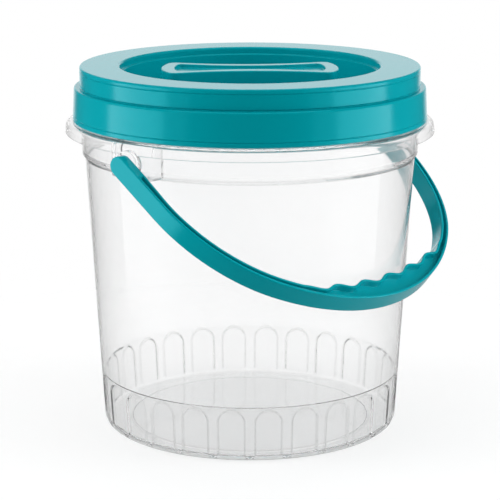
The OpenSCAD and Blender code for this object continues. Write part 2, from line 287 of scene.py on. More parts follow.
# %% Group: the moulded skin
FLOW_SCALE, GRAIN_SCALE, PEEL_SCALE, GRAIN_SHARE = 26.0, 2600.0, 420.0, 0.35
moulded_skin, skin_in, skin_out, skin_place = node_group(
    "moulded_skin",
    [("Colour", "Color", (0.5, 0.5, 0.5, 1.0)), ("Drift", "Float", 0.05),
     ("Gloss level", "Float", 0.3), ("Gloss spread", "Float", 0.05)],
    [("Colour", "Color"), ("Roughness", "Float"), ("Height", "Float")])
flow = noise(moulded_skin, skin_place, FLOW_SCALE, detail=3.0)
grain = noise(moulded_skin, skin_place, GRAIN_SCALE, detail=2.0)
peel = noise(moulded_skin, skin_place, PEEL_SCALE, detail=1.0)
shade = math_node(moulded_skin, "MULTIPLY_ADD", flow, skin_in["Drift"], 1.0)
uneven = math_node(moulded_skin, "ADD", flow, peel)
gloss = math_node(moulded_skin, "MULTIPLY_ADD", uneven, skin_in["Gloss spread"], skin_in["Gloss level"])
relief = math_node(moulded_skin, "MULTIPLY_ADD", grain, GRAIN_SHARE, peel)
moulded_skin.links.new(scaled(moulded_skin, skin_in["Colour"], shade), skin_out["Colour"])
moulded_skin.links.new(gloss, skin_out["Roughness"])
moulded_skin.links.new(relief, skin_out["Height"])
print("moulded_skin:", len(moulded_skin.nodes), "nodes")

# %% Group: scuffs from handling
SCUFF_TURN, SCUFF_STRETCH = (0.5, 0.2, 0.4), (900.0, 900.0, 60.0)
PATCH_SCALE, PATCH_EDGE, LINE_EDGE, LINE_EASE = 18.0, 0.02, 0.3, 0.1
scuffs, scuff_in, scuff_out, scuff_place = node_group(
    "scuffs", [("Density", "Float", 0.5), ("Strength", "Float", 0.1)], [("Scuff", "Float")])
drawn_out = scuffs.nodes.new("ShaderNodeMapping")
drawn_out.inputs["Rotation"].default_value = SCUFF_TURN
drawn_out.inputs["Scale"].default_value = SCUFF_STRETCH
scuffs.links.new(scuff_place, drawn_out.inputs["Vector"])
lines = noise(scuffs, drawn_out.outputs[0], 1.0, detail=2.0)
patches = noise(scuffs, scuff_place, PATCH_SCALE, detail=2.0)
more_lines = math_node(scuffs, "MULTIPLY", scuff_in["Density"], LINE_EASE)
line_edge = math_node(scuffs, "SUBTRACT", LINE_EDGE, more_lines)
mark = math_node(scuffs, "MULTIPLY", math_node(scuffs, "GREATER_THAN", lines, line_edge),
                 math_node(scuffs, "GREATER_THAN", patches, PATCH_EDGE))
scuffs.links.new(math_node(scuffs, "MULTIPLY", mark, scuff_in["Strength"]), scuff_out["Scuff"])
print("scuffs:", len(scuffs.nodes), "nodes")

# %% [markdown]
# Teal polypropylene has a full, opaque colour under a satin gloss, so that a lamp draws a soft
# band and not a sharp mirror image. Its mirror images take on the teal, which keeps the colour
# deep. The seal is a soft white elastomer with no shine to speak of. Both are one Principled
# shader, fed by the two groups.

# %% A plastic from the two groups


def plastic(name, colour, drift, gloss_level, gloss_spread, scuff_density, scuff_strength, relief_depth):
    """A Principled material whose colour, gloss and relief come from the two groups."""
    material = bpy.data.materials.new(name)
    material.use_nodes = True
    tree = material.node_tree
    shader = tree.nodes["Principled BSDF"]
    skin, worn = tree.nodes.new("ShaderNodeGroup"), tree.nodes.new("ShaderNodeGroup")
    skin.node_tree, worn.node_tree = moulded_skin, scuffs
    skin.inputs["Colour"].default_value = (*colour, 1.0)
    skin.inputs["Drift"].default_value = drift
    skin.inputs["Gloss level"].default_value = gloss_level
    skin.inputs["Gloss spread"].default_value = gloss_spread
    worn.inputs["Density"].default_value = scuff_density
    worn.inputs["Strength"].default_value = scuff_strength
    tree.links.new(skin.outputs["Colour"], shader.inputs["Base Color"])
    roughness = math_node(tree, "ADD", skin.outputs["Roughness"], worn.outputs["Scuff"])
    tree.links.new(roughness, shader.inputs["Roughness"])
    bump = tree.nodes.new("ShaderNodeBump")
    bump.inputs["Strength"].default_value = 1.0
    bump.inputs["Distance"].default_value = relief_depth * MM
    tree.links.new(skin.outputs["Height"], bump.inputs["Height"])
    tree.links.new(bump.outputs[0], shader.inputs["Normal"])
    return material, shader


print("a plastic takes", moulded_skin.name, "and", scuffs.name)

# %% Teal plastic and seal rubber
teal_plastic, teal_shader = plastic(
    "teal_plastic", (0.0, 0.36, 0.42), drift=0.05, gloss_level=0.16, gloss_spread=0.015,
    scuff_density=0.5, scuff_strength=0.03, relief_depth=0.0015)
teal_shader.inputs["Specular IOR Level"].default_value = 0.45
teal_shader.inputs["Specular Tint"].default_value = (0.1, 0.9, 1.0, 1.0)
seal_rubber, seal_shader = plastic(
    "seal_rubber", (0.78, 0.8, 0.78), drift=0.06, gloss_level=0.58, gloss_spread=0.08,
    scuff_density=0.3, scuff_strength=0.08, relief_depth=0.03)
seal_shader.inputs["Specular IOR Level"].default_value = 0.35
print("materials:", teal_plastic.name, seal_rubber.name)

# %% [markdown]
# Clear polypropylene is thin and lets nearly all light through. It is made as glass, but glass
# in a simple studio looks too hard: its mirror images are sharp and its edges go black. So the
# index is low and the mirror image weak where the wall faces the eye. Three small helpers serve
# the steps that follow, which ask how far a shaded point lies from an edge of the pail.

# %% Clear plastic: the glass
clear_plastic, clear_shader = plastic(
    "clear_plastic", (0.992, 0.992, 0.993), drift=0.02, gloss_level=0.05, gloss_spread=0.03,
    scuff_density=0.3, scuff_strength=0.05, relief_depth=0.002)
clear_shader.inputs["Transmission Weight"].default_value = 0.95
clear_shader.inputs["IOR"].default_value = 1.3
clear_shader.inputs["Specular Tint"].default_value = (0.1, 0.1, 0.1, 1.0)
glass = clear_plastic.node_tree
spot = glass.nodes.new("ShaderNodeSeparateXYZ")
glass.links.new(glass.nodes.new("ShaderNodeTexCoord").outputs["Object"], spot.inputs[0])
spot_x, spot_y, spot_z = (spot.outputs[axis] for axis in "XYZ")


def apart(value, other):
    """Distance between two values."""
    return math_node(glass, "ABSOLUTE", math_node(glass, "SUBTRACT", value, other))


def diagonal(a, b):
    """Length of the slanting side over two lengths at right angles."""
    squares = [math_node(glass, "MULTIPLY", side, side) for side in (a, b)]
    return math_node(glass, "SQRT", math_node(glass, "ADD", *squares))


def in_mm(*lengths):
    """Lengths in millimetres, as the metres that a node works in."""
    return tuple(length * MM for length in lengths)


print("material:", clear_plastic.name)

# %% [markdown]
# Real clear plastic throws a faint shadow, but glass made of shader nodes blocks the lamps. So
# most of their light is let through, or the inside would lie in the dark. At the edge of the
# foot and at the shoulder the thick plastic breaks into dark dashes, and part of the view is let
# straight through there. Both are set by Alpha: one by the kind of ray, the other by height.

# %% Clear plastic: light let through
LAMP_SHARE, FOOT_RING_R, EDGE_EASE = 0.82, 75.5, 0.7
OPEN_EDGES = ((0.8, 1.8, 0.6), (166.3, 1.6, 0.55))
lamp_ray = glass.nodes.new("ShaderNodeLightPath").outputs["Is Shadow Ray"]
solid_share = math_node(glass, "SUBTRACT", 1.0, math_node(glass, "MULTIPLY", lamp_ray, LAMP_SHARE))
inside_foot = math_node(glass, "SUBTRACT", FOOT_RING_R * MM, diagonal(spot_x, spot_y))
for edge_z, half_high, passed in OPEN_EDGES:
    off_edge = math_node(glass, "MAXIMUM", apart(spot_z, edge_z * MM), inside_foot)
    kept_here = map_range(glass, off_edge, in_mm(half_high - EDGE_EASE, half_high), (1.0 - passed, 1.0))
    solid_share = math_node(glass, "MULTIPLY", solid_share, kept_here)
glass.links.new(solid_share, clear_shader.inputs["Alpha"])
print("clear plastic:", len(glass.nodes), "nodes with its Alpha")

# %% [markdown]
# The eye reads clear plastic by its edges: the rims of the arches, the two lines of the
# shoulder, the thick foot. Thin refracted lines like these need a far finer mesh than the shape
# does, so they are painted into the colour as painted shade, from the same sizes that make the
# mesh: grey lines at the arches and the shoulder, and a greyer foot band. Seen at a slant, light
# takes a longer way through the wall, and Layer Weight darkens it there: a little of that is the
# longer way, most of it painted shade along the slanting edges.

# %% Clear plastic: painted shade along the arches
foot_r, arch_count, arch_turn, arch_w, arch_top_z, arch_depth = 89.4, 26, 9.8, 15.6, 31.4, 0.8
RIM_SPREAD, RIM_PAINTED_SHADE, RIM_STARTS = (0.2, 0.9), 0.16, (2.6, 4.5)
pitch = 2 * math.pi / arch_count
bearing = math_node(glass, "ARCTAN2", spot_y, spot_x)
from_first = math_node(glass, "SUBTRACT", bearing, math.radians(arch_turn))
in_pitch = math_node(glass, "FRACT", math_node(glass, "DIVIDE", from_first, pitch))
across = math_node(glass, "MULTIPLY", apart(in_pitch, 0.5), pitch * foot_r * MM)
over_spring = math_node(glass, "SUBTRACT", spot_z, (arch_top_z - arch_w / 2) * MM)
above = math_node(glass, "MAXIMUM", over_spring, 0.0)
off_rim = apart(diagonal(across, above), arch_w / 2 * MM)
# Painted shade: a grey line along the rim of each arch, in place of its refracted dark edge.
painted_rim_shade = map_range(glass, off_rim, in_mm(*RIM_SPREAD), (RIM_PAINTED_SHADE, 0.0), smooth=True)
over_floor = map_range(glass, spot_z, in_mm(*RIM_STARTS))
painted_arch_shade = math_node(glass, "MULTIPLY", painted_rim_shade, over_floor)
print("arches:", arch_count)

# %% Clear plastic: painted shade at the shoulder, the foot and the slant
shoulder_z, neck_z = 165.4, 167.2
LINE_SPREAD, LINE_PAINTED_SHADE = (0.1, 0.6), 0.34
FOOT_TOP, FOOT_PAINTED_TONE = (32.5, 33.7), 0.957
SLANT_SPAN, SLANT_PAINTED_TONE = (0.25, 0.9), 0.82
off_lines = math_node(glass, "MINIMUM", *[apart(spot_z, z * MM) for z in (shoulder_z, neck_z)])
# Painted shade: grey lines at the shoulder's two bends, joined below with the arch lines.
painted_shoulder_shade = map_range(glass, off_lines, in_mm(*LINE_SPREAD), (LINE_PAINTED_SHADE, 0.0), smooth=True)
painted_line_shade = math_node(glass, "MAXIMUM", painted_arch_shade, painted_shoulder_shade)
# Painted shade: the thick foot band a shade greyer than the wall above it.
thick_foot_painted_shade = map_range(glass, spot_z, in_mm(*FOOT_TOP), (FOOT_PAINTED_TONE, 1.0))
# Layer Weight darkens faces seen at a slant: a little of it is the longer way through the wall, most of it
# painted shade along slanting edges.
slant = glass.nodes.new("ShaderNodeLayerWeight")
slant.inputs["Blend"].default_value = 0.5
long_way_and_painted_shade = map_range(glass, slant.outputs["Facing"], SLANT_SPAN, (1.0, SLANT_PAINTED_TONE))
# All the painted shade scales the plastic's own colour here.
painted_shade_tone = math_node(glass, "MULTIPLY", thick_foot_painted_shade, math_node(glass, "SUBTRACT", 1.0, painted_line_shade))
painted_shade_tone = math_node(glass, "MULTIPLY", painted_shade_tone, long_way_and_painted_shade)
plain_colour = clear_shader.inputs["Base Color"].links[0].from_socket
glass.links.new(scaled(glass, plain_colour, painted_shade_tone), clear_shader.inputs["Base Color"])
print("clear plastic:", len(glass.nodes), "nodes in all")

# %% [markdown]
# Round pieces are turned, as on a lathe: an outline is drawn from the axis outwards and swung
# round. A moulding has no sharp corners, so the outline is drawn by its corners, each with a
# rounding, and a helper replaces every corner by a short arc. It sets one extra point close to
# each end of the arc. These hold the flat faces flat when the mesh is shaded smooth.

# %% Helper: rounded outlines
ARC_STEPS = 5
HOLD, HOLD_SHARE, ROOM_SHARE = 0.15, 0.05, 0.47


def soften(corners, closed=False):
    """Outline through corners (x, y, rounding), with a short arc in place of each rounded corner."""
    count = len(corners)
    points = []
    for i, (x, y, rounding) in enumerate(corners):
        here = np.array((x, y), float)
        if rounding <= 0 or (not closed and i in (0, count - 1)):
            points.append(here)
            continue
        before = np.array(corners[i - 1][:2], float) - here
        after = np.array(corners[(i + 1) % count][:2], float) - here
        long_before, long_after = np.linalg.norm(before), np.linalg.norm(after)
        shorter = min(long_before, long_after)
        if shorter < 1e-6:
            points += [here] * (ARC_STEPS + 3)
            continue
        before, after = before / long_before, after / long_after
        half = math.acos(max(-1.0, min(1.0, float(before @ after)))) / 2
        reach = min(rounding / max(math.tan(half), 1e-6), ROOM_SHARE * shorter)
        radius = reach * math.tan(half)
        middle = (before + after) / np.linalg.norm(before + after)
        centre = here + middle * radius / math.sin(half)
        start, end = here + before * reach, here + after * reach
        hold = min(HOLD, HOLD_SHARE * shorter)
        points.append(start + before * hold)
        first = math.atan2(*(start - centre)[::-1])
        sweep = math.atan2(*(end - centre)[::-1]) - first
        sweep = (sweep + math.pi) % (2 * math.pi) - math.pi
        for k in range(ARC_STEPS + 1):
            at = first + sweep * k / ARC_STEPS
            points.append(centre + radius * np.array((math.cos(at), math.sin(at))))
        points.append(end + after * hold)
    return np.array(points)


print("points in a rounded corner:", ARC_STEPS + 3)

# %% [markdown]
# Every piece is a skin over loops: rings of points that follow each other, with the same count
# in each. Quads between them make an even mesh, and shading it smooth up to a crease angle keeps
# the mould's few true edges. Pieces that are one moulding are joined by a boolean, so that clear
# plastic has no skins left inside it.

# %% Helpers: skins of loops
CREASE = math.radians(35.0)
WELD, TOO_THIN = 2e-7, 1e-7


def turned(outline, angles):
    """Loops of an outline (radius, height) swung round the vertical axis."""
    ring = np.stack([np.cos(angles), np.sin(angles)], axis=1)
    return [np.column_stack([ring * radius, np.full(len(angles), height)]) for radius, height in outline]


def skin_of(loops, joined=False):
    """Quads between neighbouring loops of equal count, each loop closed on itself."""
    rows, columns = len(loops), len(loops[0])
    column = np.arange(columns)
    beside = np.roll(column, -1)
    faces = []
    for row in range(rows if joined else rows - 1):
        low, high = row * columns, ((row + 1) % rows) * columns
        faces.append(np.stack([low + column, low + beside, high + beside, high + column], axis=1))
    return np.concatenate(loops), np.concatenate(faces)


def closed_skin(loops):
    """Skin of loops, with quads across the first and the last loop to close its ends."""
    verts, faces = skin_of(loops)
    count = len(loops[0])
    i = np.arange(count // 2 - 1)
    end = np.stack([i, i + 1, count - 2 - i, count - 1 - i], axis=1)
    return verts, np.concatenate([faces, end, end + (len(loops) - 1) * count])


def half_turned(part):
    """The same part on the other side of the pail's axis."""
    c, s = math.cos(math.pi), math.sin(math.pi)
    x, y, z = part[0].T
    return np.column_stack([c * x - s * y, s * x + c * y, z]), part[1]


print("skins are shaded smooth up to", round(math.degrees(CREASE)), "degrees")

# %% Helpers: pieces


def smooth_to_crease(mesh):
    """Shade a mesh smooth, with its true edges kept."""
    mesh.shade_smooth()
    mesh.set_sharp_from_angle(angle=CREASE)


def make_piece(name, parts, material):
    """One mesh object from several (verts, faces) in millimetres, welded, smooth and facing outwards."""
    builder = bmesh.new()
    for verts, faces in parts:
        made = [builder.verts.new(Vector(v) * MM) for v in verts.tolist()]
        for face in faces.tolist():
            builder.faces.new([made[i] for i in face])
    bmesh.ops.remove_doubles(builder, verts=builder.verts, dist=WELD)
    bmesh.ops.dissolve_degenerate(builder, edges=builder.edges, dist=TOO_THIN)
    bmesh.ops.recalc_face_normals(builder, faces=builder.faces)
    mesh = bpy.data.meshes.new(name)
    builder.to_mesh(mesh)
    builder.free()
    mesh.materials.append(material)
    smooth_to_crease(mesh)
    piece = bpy.data.objects.new(name, mesh)
    scene.collection.objects.link(piece)
    print(name, len(mesh.vertices), "points", len(mesh.polygons), "faces")
    return piece


def combine(piece, other, operation):
    """Join a piece with another, or cut it by the other, and drop that other."""
    change = piece.modifiers.new("change", "BOOLEAN")
    change.operation = operation
    change.solver = "EXACT"
    change.object = other
    bpy.context.view_layer.update()
    mesh = bpy.data.meshes.new_from_object(piece.evaluated_get(bpy.context.evaluated_depsgraph_get()))
    piece.modifiers.remove(change)
    piece.data = mesh
    mesh.name = piece.name
    smooth_to_crease(mesh)
    bpy.data.objects.remove(other)
    print(piece.name, operation.lower(), len(mesh.polygons), "faces")


print("piece helpers:", make_piece.__name__, combine.__name__)

# %% [markdown]
# The pail is one clear moulding: a tapered wall on a lifted floor, a band of arches sunk into
# the foot, a small shoulder, and a straight neck with a flared collar. The arches could be cut
# with a boolean, but a cut leaves a hard edge and a ragged mesh. Here one arch is drawn flat, as
# a tile of lines that step inwards over a rolled edge, and the tile is bent round the wall. At
# its lower end the sunk panel runs out into the rounded edge of the foot.

# %% Pail: outline of the wall
wall_top_r, neck_r = 99.0, 100.8
floor_lift, floor_z, wall = 0.8, 2.4, 1.8
band_z, band_extra, foot_w, foot_round = 33.3, 0.8, 12.5, 4.5
collar_z, collar_r, collar_top, collar_round, collar_t, collar_flare = 180.0, 110.7, 186.8, 3.6, 1.6, 0.8
rim_r, rim_z, neck_step_z = 98.6, 214.0, 203.8
tile_high, SHOULDER_EASE, FOOT_LIP = 33.6, 1.6, 0.2
taper = (wall_top_r - foot_r) / shoulder_z


def wall_r(z):
    """Radius of the outer wall at a height."""
    return foot_r + taper * z


foot_out_r = wall_r(foot_round) - foot_round
foot_in_r = foot_out_r - foot_w
skirt_r, under_collar = collar_r - collar_flare, collar_top - collar_t
neck_step = neck_r - rim_r
inner_step = wall * math.tan(math.radians(22.5))
foot_outline = soften([
    (0, floor_lift, 0), (foot_in_r - FOOT_LIP, floor_lift, 0.3), (foot_in_r, 0, 0.3), (foot_out_r, 0, 0),
])
upper_outline = soften([
    (wall_r(tile_high), tile_high, 0), (wall_top_r, shoulder_z, 0.9), (neck_r, neck_z, 0.9),
    (neck_r, under_collar, 0.9), (skirt_r - collar_t, under_collar, collar_round - collar_t),
    (collar_r - collar_t, collar_z, 0.3), (collar_r, collar_z, 0.6), (skirt_r, collar_top, collar_round),
    (neck_r, collar_top, 0.5), (neck_r, neck_step_z - neck_step, 0.6), (rim_r, neck_step_z, 0.6),
    (rim_r, rim_z, 0.85), (rim_r - wall, rim_z, 0.85), (rim_r - wall, neck_step_z - inner_step, 0.5),
    (neck_r - wall, neck_step_z - neck_step - inner_step, 0.5),
    (neck_r - wall, neck_z + inner_step + SHOULDER_EASE, 2.0),
    (wall_top_r - wall, shoulder_z + inner_step - SHOULDER_EASE, 2.0), (wall_r(band_z) - wall, band_z, 0.25),
    (wall_r(band_z) - wall - band_extra, band_z - band_extra, 0.25),
    (wall_r(floor_z) - wall - band_extra, floor_z, 3.0), (0, floor_z, 0),
])
print("pail outline:", len(foot_outline) + len(upper_outline), "points")

# %% Pail: one tile of the arch band
half_pitch = math.pi * foot_r / arch_count
ACROSS, UP = 14, 44
ARCH_LOW, FOOT_ARC = 3.4, foot_round * math.pi / 2


def climb(z):
    """Way up the outside from the foot's flat ring, round its rounded edge, to a height on the wall."""
    return z - foot_round + FOOT_ARC


def arch_line(grow):
    """Outline of an arch, grown by a distance: sill, right side, crown and left side, in equal steps."""
    crown_z = climb(arch_top_z - arch_w / 2)
    half, low = max(arch_w / 2 + grow, 1e-9), min(ARCH_LOW - grow, crown_z)
    eighth = math.pi / 4
    along = np.linspace(0, crown_z - low + eighth * half, UP, endpoint=False)
    turn = np.maximum(along - (crown_z - low), 0) / half
    heights = np.where(turn > 0, crown_z + half * np.sin(turn), low + along)
    right = np.column_stack([half * np.cos(turn), heights])
    over = np.linspace(eighth, 3 * eighth, ACROSS, endpoint=False)
    crown = np.column_stack([half * np.cos(over), crown_z + half * np.sin(over)])
    sill = np.column_stack([half * np.linspace(-1, 1, ACROSS, endpoint=False), np.full(ACROSS, low)])
    last = np.array([[half * math.cos(eighth), crown_z + half * math.sin(eighth)]])
    left = np.concatenate([last, right[:0:-1]]) * (-1, 1)
    return np.concatenate([sill, right, crown, left])


def tile_edge():
    """Edge of the tile round an arch, in the same steps."""
    sideways = half_pitch * np.linspace(-1, 1, ACROSS, endpoint=False)
    top = climb(tile_high)
    rise = np.linspace(0, top, UP, endpoint=False)
    return np.concatenate([
        np.column_stack([sideways, np.zeros(ACROSS)]),
        np.column_stack([np.full(UP, half_pitch), rise]),
        np.column_stack([-sideways, np.full(ACROSS, top)]),
        np.column_stack([np.full(UP, -half_pitch), top - rise]),
    ])


ARCH_WALL = soften([(1.1, 0, 0), (0.45, 0, 0.5), (-0.45, arch_depth, 0.5), (-1.2, arch_depth, 0)])
PANEL_INWARDS = (2.2, 3.6, 5.0, 6.4, arch_w / 2)
arch_steps = [*ARCH_WALL, *[(-inwards, arch_depth) for inwards in PANEL_INWARDS]]
tile_lines = [(tile_edge(), 0.0)] + [(arch_line(grow), depth) for grow, depth in arch_steps]
print("lines in a tile:", len(tile_lines), "of", len(tile_lines[0][0]), "points")

# %% Pail: tiles round the band, and the wall that carries them
arch_middles = math.radians(arch_turn) + (np.arange(arch_count) + 0.5) * pitch
RUNOUT = 0.3


def bent_round(line, depth, middle):
    """A flat line of the tile, bent round the foot's edge and the wall; a panel runs out into that edge."""
    way_up = line[:, 1]
    lean = np.minimum(way_up / foot_round, math.pi / 2)
    heights = np.where(way_up < FOOT_ARC, foot_round * (1 - np.cos(lean)), way_up - FOOT_ARC + foot_round)
    radii = np.where(way_up < FOOT_ARC, foot_out_r + foot_round * np.sin(lean), wall_r(heights))
    if depth > 0:
        panel = wall_r(heights) - depth
        share = np.clip(0.5 + 0.5 * (panel - radii) / RUNOUT, 0, 1)
        radii = panel + (radii - panel) * share - RUNOUT * share * (1 - share)
    angles = middle + line[:, 0] / foot_r
    return np.column_stack([radii * np.cos(angles), radii * np.sin(angles), heights])


arch_tiles = [
    skin_of([bent_round(line, depth, middle) for line, depth in tile_lines]) for middle in arch_middles
]
columns = (arch_middles[:, None] + half_pitch / foot_r * np.linspace(-1, 1, ACROSS, endpoint=False)).ravel()
pail_parts = [skin_of(turned(foot_outline, columns)), skin_of(turned(upper_outline, columns)), *arch_tiles]
print("columns round the pail:", len(columns))

# %% [markdown]
# Two ears hang under the collar. Each is a thin box, open below, and carries a round boss with
# a stud that the handle snaps over. A box seen through clear plastic shows both sides of its
# walls, so the ear is built as a real wall with a thickness: a U in plan, stacked by height.

# %% Pail: ears
ear_r, ear_w, ear_z, ear_t, pivot_z = 110.3, 31.0, 166.5, 2.2, 175.0
EAR_CORNER, EAR_BEDDED = 2.6, 0.3
EAR_EDGE = ((0.0, 0.5), (0.15, 0.2), (0.5, 0.0))
EAR_LEVELS = (neck_z, 172.0, 177.0, 180.0, 182.0, 183.2, 184.2, 185.0)


def collar_out(z):
    """Radius of the collar's outer face at a height."""
    straight_top = collar_top - collar_round
    if z < straight_top:
        return collar_r - collar_flare * (z - collar_z) / (straight_top - collar_z)
    rise = min(z - straight_top, collar_round)
    return skirt_r - collar_round + math.sqrt(collar_round ** 2 - rise ** 2)


def ear_plan(z, inset):
    """U-shaped plan of an ear's wall at a height, drawn in by an inset for its rounded lower edge."""
    root = min(neck_r, wall_top_r + z - shoulder_z) - EAR_BEDDED
    face = min(ear_r, collar_out(z) - EAR_BEDDED) if z > collar_z else ear_r
    half, t = ear_w / 2, ear_t
    plan = soften([
        (root, -half + inset, 0), (face - inset, -half + inset, EAR_CORNER),
        (face - inset, half - inset, EAR_CORNER), (root, half - inset, 0),
        (root, half - t + inset, 0), (face - t + inset, half - t + inset, EAR_CORNER - t / 2),
        (face - t + inset, -half + t - inset, EAR_CORNER - t / 2), (root, -half + t - inset, 0),
    ], closed=True)
    return np.column_stack([np.sqrt(plan[:, 0] ** 2 - plan[:, 1] ** 2), plan[:, 1], np.full(len(plan), z)])


ear_levels = [(ear_z + up, inset) for up, inset in EAR_EDGE] + [(z, 0.0) for z in EAR_LEVELS]
ear_skin = closed_skin([ear_plan(z, inset) for z, inset in ear_levels])
print("ear:", len(ear_skin[1]), "faces")

# %% Pail: boss and stud, turned about the handle's axis
boss_r, boss_len, stud_r, stud_len, stud_tip = 8.0, 3.4, 4.0, 4.0, 0.6
boss_out = ear_r + boss_len
stud_root, stud_end = ear_r - ear_t / 2, boss_out + stud_len
PIVOT_STEPS = 72


def turned_on_pivot(outline):
    """Skin of an outline (place along the pivot, radius) swung round the handle's pivot."""
    angles = np.linspace(0, 2 * math.pi, PIVOT_STEPS, endpoint=False)
    return skin_of([
        np.column_stack([np.full(PIVOT_STEPS, x), r * np.cos(angles), pivot_z + r * np.sin(angles)])
        for x, r in outline
    ])


stud_skin = turned_on_pivot(soften([
    (stud_root, 0, 0), (stud_root, boss_r, 0.1), (boss_out, boss_r, 0.8), (boss_out, stud_r, 0.4),
    (stud_end, stud_r, stud_tip), (stud_end, 0, 0),
]))
print("boss and stud:", len(stud_skin[1]), "faces")

# %% [markdown]
# The lid screws down on three short ribs round the neck. They rise thirty millimetres in a
# turn, as the joint does. A rib is a small rounded section carried along a helix, and it
# swells out of the wall and sinks back into it, because a mould can't leave a square end.

# %% Screw ribs
LEAD, STARTS, RIB_SPAN, RIB_STEPS = 30.0, 3, 96.0, 65
RIB_RUNOUT, RIB_LEAST, RIB_ROUND, RIB_BEDDED = 9.0, 0.02, 0.5, 0.2
RIB_FIRST, NECK_RIB_Z, NECK_RIB_W, NECK_RIB_CREST = 20.0, 191.0, 2.4, 1.6


def screw_rib(root_at, crest, start, first_z, width):
    """One rib on a helix: root_at(z) gives its root's radius, crest its height out of it."""
    loops = []
    for turn in np.linspace(0, RIB_SPAN, RIB_STEPS):
        swell = np.clip(min(turn, RIB_SPAN - turn) / RIB_RUNOUT, RIB_LEAST, 1.0)
        z = first_z + LEAD * turn / 360.0
        root = root_at(z)
        top = root + crest * math.sin(swell * math.pi / 2)
        r, heights = soften([
            (root, z - width / 2, 0), (top, z - width / 4, RIB_ROUND), (top, z + width / 4, RIB_ROUND),
            (root, z + width / 2, 0),
        ]).T
        a = math.radians(RIB_FIRST + start * 360 / STARTS + turn)
        loops.append(np.column_stack([r * math.cos(a), r * math.sin(a), heights]))
    return closed_skin(loops)


neck_ribs = [screw_rib(lambda z: neck_r - RIB_BEDDED, NECK_RIB_CREST, start, NECK_RIB_Z, NECK_RIB_W)
             for start in range(STARTS)]
print("ribs round the neck:", len(neck_ribs))

# %% Pail: one clear moulding
pail_shell = make_piece("pail_shell", pail_parts, clear_plastic)
for name, added in (
    ("ears", [ear_skin, half_turned(ear_skin)]),
    ("studs", [stud_skin, half_turned(stud_skin)]),
    ("ribs", neck_ribs),
):
    combine(pail_shell, make_piece(name, added, clear_plastic), "UNION")

# %% [markdown]
# The lid is turned as well, but its grip is not round: it is a bar with round ends and a waist,
# with a shallow tray in its top. Both can still be one skin. Every loop, round or waisted, has
# the same number of points at the same angles, so the loops follow each other from the middle
# of the tray, over the grip, across the well, round the skirt and back underneath.

# %% Lid: waisted loops of the grip
lid_angles = np.linspace(0, 2 * math.pi, 360, endpoint=False)
grip_turn = math.radians(-50.5)


def waisted(size, out):
    """Distance from the middle to a waisted outline (length, end width, waist, corner), grown by out.

    Its ends lie on one disc, its hollow sides on two large circles, and a small circle rounds each corner.
    """
    length, width, waist, corner = size
    end_r, hollow = length / 2, (width - waist) / 2
    side_r = (end_r ** 2 - width ** 2 / 4 + hollow ** 2) / 2 / hollow
    side_y = waist / 2 + side_r
    corner_y = ((end_r - corner) ** 2 + side_y ** 2 - (side_r + corner) ** 2) / 2 / side_y
    corner_x = math.sqrt((end_r - corner) ** 2 - corner_y ** 2)
    grown = max(corner + out, 0.0)
    c, s = np.abs(np.cos(lid_angles - grip_turn)), np.abs(np.sin(lid_angles - grip_turn))
    to_side = side_y * s - np.sqrt(np.maximum((side_r - out) ** 2 - (side_y * c) ** 2, 0))
    beside = corner_x * s - corner_y * c
    to_corner = corner_x * c + corner_y * s + np.sqrt(np.maximum(grown ** 2 - beside ** 2, 0))
    end_turn = math.atan2(corner_y, corner_x)
    share = grown / (side_r + corner)
    side_turn = math.atan2(corner_y + share * (side_y - corner_y), corner_x * (1 - share))
    turn = np.arctan2(s, c)
    return np.where(turn < end_turn, end_r + out, np.where(turn < side_turn, to_corner, to_side))


def lid_loop(radii, z):
    """One loop of the lid at a height; radii is one number, or one for each angle."""
    heights = np.full(len(lid_angles), z)
    return np.column_stack([radii * np.cos(lid_angles), radii * np.sin(lid_angles), heights])


def waisted_loops(size, outline):
    """Loops of a waisted outline, for a profile of (growth, height)."""
    return [lid_loop(waisted(size, out), z) for out, z in outline]


print("points in a loop of the lid:", len(lid_angles))

# %% Lid: tray and grip
top_z, well_z, lid_t, grip_top, tray_z = 219.0, 198.0, 2.0, 217.0, 215.0
grip_size, tray_size = (106.0, 48.0, 29.0, 5.0), (90.0, 33.0, 15.0, 3.0)
TRAY_FLAT, TRAY_SHARES = -3.0, (0.55, 0.8)
GATE_MARK = ((0.0, 0.5), (0.9, 0.5), (1.3, 0.35), (1.5, 0.05), (1.9, 0.0))
tray_profile = soften([(TRAY_FLAT, tray_z, 0), (-0.3, tray_z, 0.6), (0.1, grip_top, 0.5), (1.3, grip_top, 0)])
grip_profile = soften([(-2.0, grip_top, 0), (0.0, grip_top, 0.9), (0.5, well_z, 1.4), (3.0, well_z, 0)])
lid_loops = [lid_loop(r, tray_z + up) for r, up in GATE_MARK]
lid_loops += [lid_loop(share * waisted(tray_size, TRAY_FLAT), tray_z) for share in TRAY_SHARES]
lid_loops += waisted_loops(tray_size, tray_profile) + waisted_loops(grip_size, grip_profile)
print("loops of tray and grip:", len(lid_loops))

# %% Lid: well, top and tiers
well_from_r, well_r, well_top_r, ledge_z, ledge_r = 71.0, 75.0, 76.0, 214.7, 77.5
lid_z, tier_z, upper_r, step_r, lid_r = 187.2, 206.8, 101.6, 105.0, 106.0
groove_w, groove_d, GROOVE_ROUND = 0.8, 0.5, 0.15
low_groove_z, foot_groove_z, top_groove_z = 190.0, tier_z + 0.5, 216.2


def tier_r(z):
    """Radius of the lower tier at a height."""
    return lid_r - (lid_r - step_r) * (z - lid_z) / (tier_z - lid_z)


def fine_groove(radius_at, z):
    """Corners of a fine groove, from its upper to its lower edge."""
    high, low = z + groove_w / 2, z - groove_w / 2
    return [(radius_at(high), high, GROOVE_ROUND), (radius_at(z) - groove_d, z, GROOVE_ROUND),
            (radius_at(low), low, GROOVE_ROUND)]


